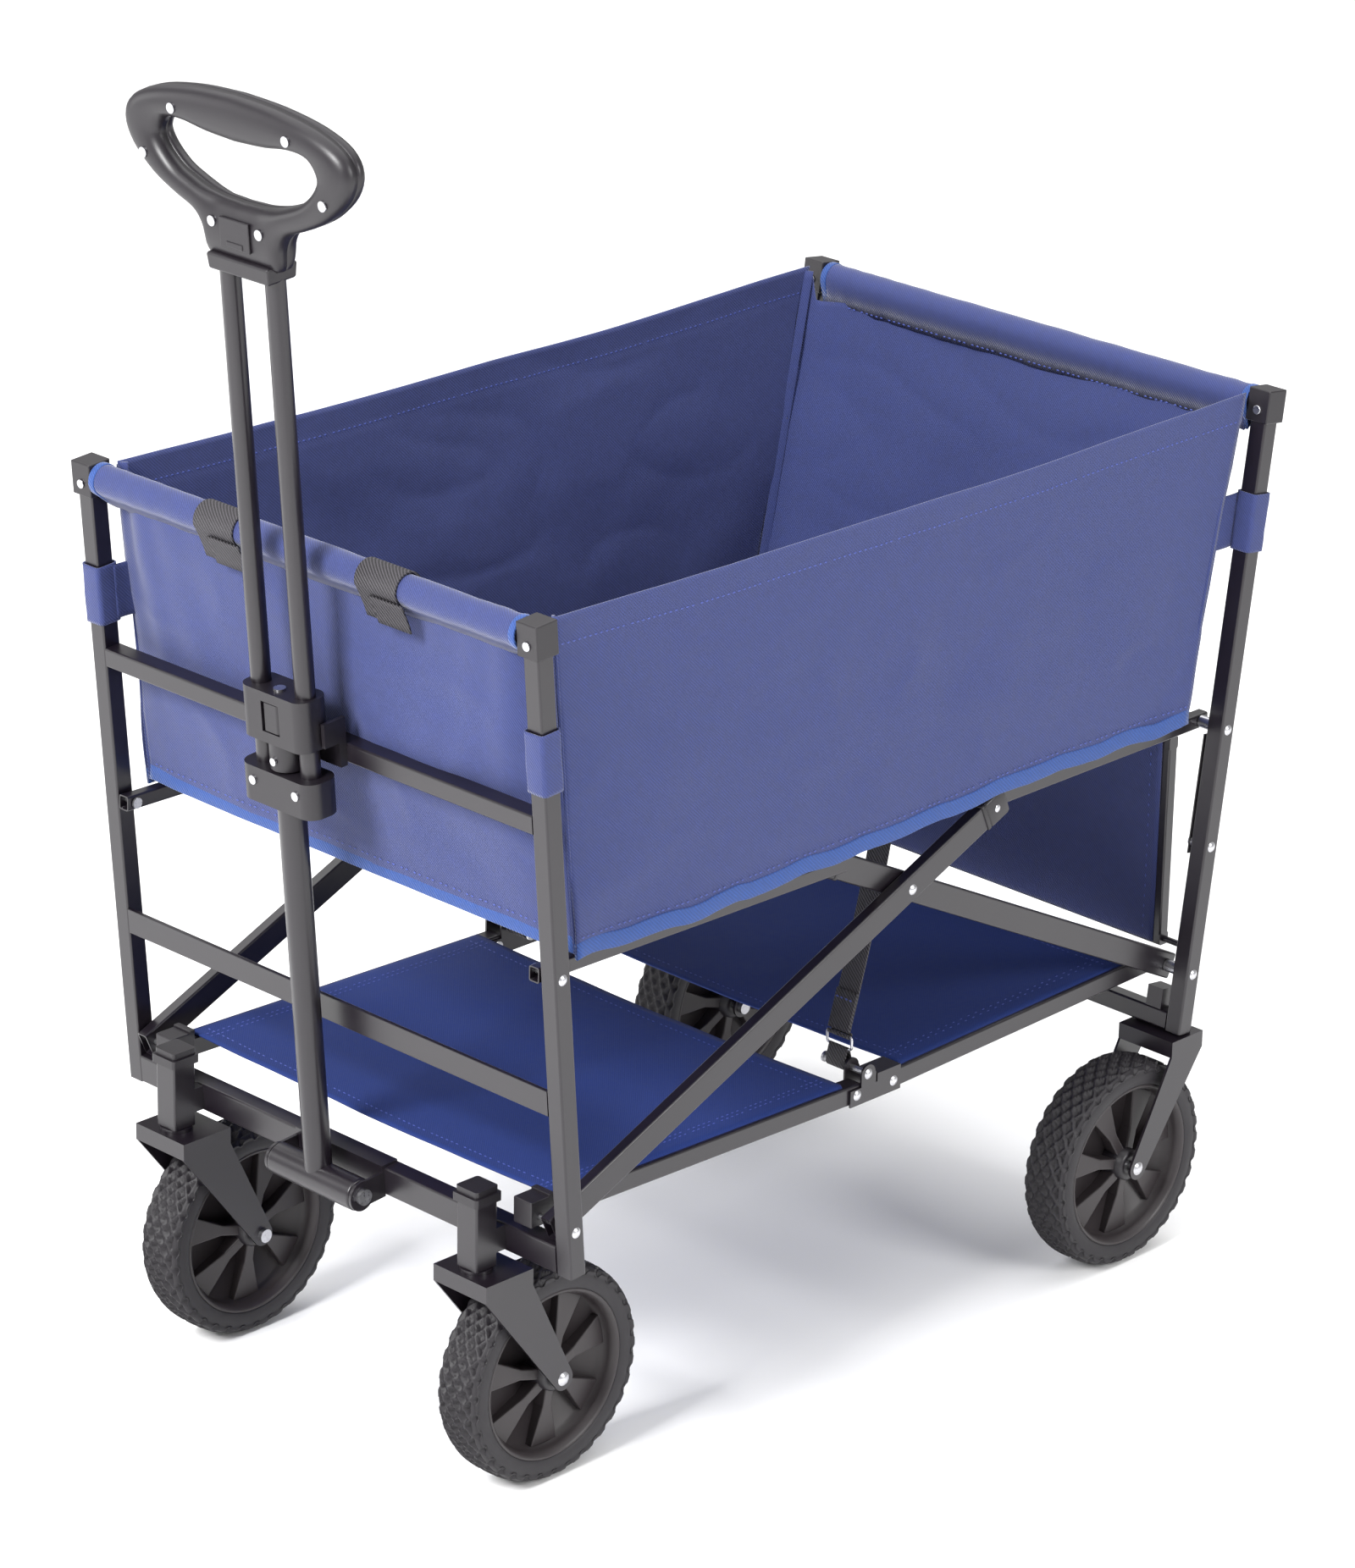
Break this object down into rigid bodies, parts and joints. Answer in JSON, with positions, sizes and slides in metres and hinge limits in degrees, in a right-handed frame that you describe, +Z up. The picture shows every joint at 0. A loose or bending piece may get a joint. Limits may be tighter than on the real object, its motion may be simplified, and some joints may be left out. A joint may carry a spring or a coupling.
{
  "type": "folding wagon with pull handle",
  "caption": "Folding four-wheeled wagon: fabric tub over a lower cloth deck, scissor side frames, swivelling front casters and a telescopic pull handle.",
  "frame": {"origin": "on the ground, in the middle of the wagon's length and width", "axes": "+Z up, -Y towards the handle end (front), +Y towards the rear, +X to the wagon's right side"},
  "size_m": [0.5908, 1.0247, 1.2372],
  "materials": {
    "powder_coated_steel": "satin",
    "zinc_plated_steel": "satin",
    "moulded_plastic": "matte",
    "tub_twill": "woven",
    "deck_canvas": "woven",
    "webbing": "woven",
    "tyre_rubber": "matte",
    "rim_plastic": "satin"
  },
  "bodies": {
    "front_frame": {"front_posts": "powder_coated_steel", "front_upper_rail": "powder_coated_steel", "front_mid_bar": "powder_coated_steel", "front_bottom_rail": "powder_coated_steel", "front_top_crossbar": "powder_coated_steel", "corner_caps_front": "moulded_plastic", "front_fasteners": "zinc_plated_steel", "caster_stems": "powder_coated_steel", "stem_snap_caps": "moulded_plastic", "handle_bracket": "powder_coated_steel", "handle_clip": "moulded_plastic", "tub_front_cloth": "tub_twill", "tub_sides": "tub_twill"},
    "caster_left": {"caster_fork_left": "powder_coated_steel", "axle_front_left": "zinc_plated_steel"},
    "caster_right": {"caster_fork_right": "powder_coated_steel", "axle_front_right": "zinc_plated_steel"},
    "front_wheel_left": {"tyre_front_left": "tyre_rubber", "rim_front_left": "rim_plastic"},
    "front_wheel_right": {"tyre_front_right": "tyre_rubber", "rim_front_right": "rim_plastic"},
    "rear_frame": {"rear_posts": "powder_coated_steel", "rear_top_crossbar": "powder_coated_steel", "corner_caps_rear": "moulded_plastic", "rear_fasteners": "zinc_plated_steel", "rear_bottom_rail": "powder_coated_steel", "rear_forks": "powder_coated_steel", "tub_rear_cloth": "tub_twill", "tailgate_stays": "powder_coated_steel"},
    "rear_wheel_left": {"tyre_rear_left": "tyre_rubber", "rim_rear_left": "rim_plastic"},
    "rear_wheel_right": {"tyre_rear_right": "tyre_rubber", "rim_rear_right": "rim_plastic"},
    "scissor_a": {"scissor_a_tubes": "powder_coated_steel", "scissor_a_rivets": "zinc_plated_steel"},
    "scissor_b": {"scissor_b_tubes": "powder_coated_steel", "scissor_b_rivets": "zinc_plated_steel"},
    "side_rails_front": {"side_rails_front": "powder_coated_steel", "tub_floor_front": "tub_twill"},
    "side_rails_rear": {"side_rails_rear": "powder_coated_steel", "tub_floor_rear": "tub_twill"},
    "deck_front": {"deck_front_rails": "powder_coated_steel", "deck_front_cloth": "deck_canvas"},
    "deck_rear": {"deck_rear_rails": "powder_coated_steel", "deck_rear_cloth": "deck_canvas"},
    "deck_hinge": {"deck_hinge_brackets": "powder_coated_steel", "deck_hinge_pins": "zinc_plated_steel", "pull_straps": "webbing", "strap_rings": "zinc_plated_steel"},
    "tailgate": {"tailgate_frame": "powder_coated_steel", "tailgate_cloth": "tub_twill"},
    "handle_lower": {"handle_lower_tube": "powder_coated_steel", "handle_latch_block": "moulded_plastic", "latch_fasteners": "zinc_plated_steel"},
    "lock_button": {"lock_button": "moulded_plastic"},
    "handle_upper": {"handle_twin_tubes": "powder_coated_steel", "handle_slider_block": "moulded_plastic", "grip_front_half": "moulded_plastic", "grip_rear_half": "moulded_plastic", "grip_screws": "zinc_plated_steel"}
  },
  "joints": [
    {"name": "deck_front_pivot", "type": "hinge", "parent": "front_frame", "child": "deck_front", "pos_m": [0, -0.384, 0.279], "axis": [1, 0, 0], "range_deg": [0, 72], "deforming": ["tub_sides", "tub_rear_cloth", "pull_straps"]},
    {"name": "deck_front_hinge", "type": "hinge", "parent": "deck_front", "child": "deck_hinge", "pos_m": [0, 0.0125, 0.269], "axis": [1, 0, 0], "range_deg": [-72, 0]},
    {"name": "deck_rear_hinge", "type": "hinge", "parent": "deck_hinge", "child": "deck_rear", "pos_m": [0, 0.0605, 0.269], "axis": [1, 0, 0], "range_deg": [-72, 0]},
    {"name": "rear_frame_pivot", "type": "hinge", "parent": "deck_rear", "child": "rear_frame", "pos_m": [0, 0.427, 0.279], "axis": [1, 0, 0], "range_deg": [0, 84.1]},
    {"name": "scissor_a_pivot", "type": "hinge", "parent": "front_frame", "child": "scissor_a", "pos_m": [0, -0.384, 0.279], "axis": [1, 0, 0], "range_deg": [0, 43.09]},
    {"name": "scissor_b_pivot", "type": "hinge", "parent": "rear_frame", "child": "scissor_b", "pos_m": [0, 0.427, 0.279], "axis": [1, 0, 0], "range_deg": [-60.06, 0]},
    {"name": "side_rail_front_pivot", "type": "hinge", "parent": "front_frame", "child": "side_rails_front", "pos_m": [0, -0.40325, 0.51823], "axis": [1, 0, 0], "range_deg": [0, 59.46]},
    {"name": "side_rail_rear_pivot", "type": "hinge", "parent": "rear_frame", "child": "side_rails_rear", "pos_m": [0, 0.45833, 0.51695], "axis": [1, 0, 0], "range_deg": [-92.7, 0]},
    {"name": "caster_swivel_left", "type": "hinge", "parent": "front_frame", "child": "caster_left", "pos_m": [-0.197, -0.413, 0.25], "axis": [0, 0, 1], "continuous": true},
    {"name": "caster_swivel_right", "type": "hinge", "parent": "front_frame", "child": "caster_right", "pos_m": [0.197, -0.413, 0.25], "axis": [0, 0, 1], "continuous": true},
    {"name": "front_wheel_left_spin", "type": "hinge", "parent": "caster_left", "child": "front_wheel_left", "pos_m": [-0.197, -0.339, 0.102], "axis": [1, 0, 0], "continuous": true},
    {"name": "front_wheel_right_spin", "type": "hinge", "parent": "caster_right", "child": "front_wheel_right", "pos_m": [0.197, -0.339, 0.102], "axis": [1, 0, 0], "continuous": true},
    {"name": "rear_wheel_left_spin", "type": "hinge", "parent": "rear_frame", "child": "rear_wheel_left", "pos_m": [-0.2595, 0.356, 0.102], "axis": [1, 0, 0], "continuous": true},
    {"name": "rear_wheel_right_spin", "type": "hinge", "parent": "rear_frame", "child": "rear_wheel_right", "pos_m": [0.2595, 0.356, 0.102], "axis": [1, 0, 0], "continuous": true},
    {"name": "tailgate_drop", "type": "hinge", "parent": "rear_frame", "child": "tailgate", "pos_m": [0, 0.448, 0.293], "axis": [-1, 0, 0], "range_deg": [0, 90]},
    {"name": "handle_swing", "type": "hinge", "parent": "front_frame", "child": "handle_lower", "pos_m": [0, -0.41724, 0.24322], "axis": [1, 0, 0], "range_deg": [0, 90]},
    {"name": "handle_slide", "type": "slide", "parent": "handle_lower", "child": "handle_upper", "axis": [0, -0.0802, 0.9968], "range_m": [-0.3, 0]},
    {"name": "lock_button_press", "type": "slide", "parent": "handle_lower", "child": "lock_button", "axis": [0, 0.9968, 0.0802], "range_m": [0, 0.003], "stiffness_N_per_m": 600}
  ],
  "couplings": [
    {"joint": "deck_front_hinge", "follows": "deck_front_pivot", "ratio": -1},
    {"joint": "deck_rear_hinge", "follows": "deck_front_pivot", "ratio": -1},
    {"joint": "rear_frame_pivot", "follows": "deck_front_pivot", "ratio": 1.1681},
    {"joint": "scissor_a_pivot", "follows": "deck_front_pivot", "ratio": 0.59843},
    {"joint": "scissor_b_pivot", "follows": "deck_front_pivot", "ratio": -0.83421},
    {"joint": "side_rail_front_pivot", "follows": "deck_front_pivot", "ratio": 0.8258},
    {"joint": "side_rail_rear_pivot", "follows": "deck_front_pivot", "ratio": -1.2875}
  ]
}
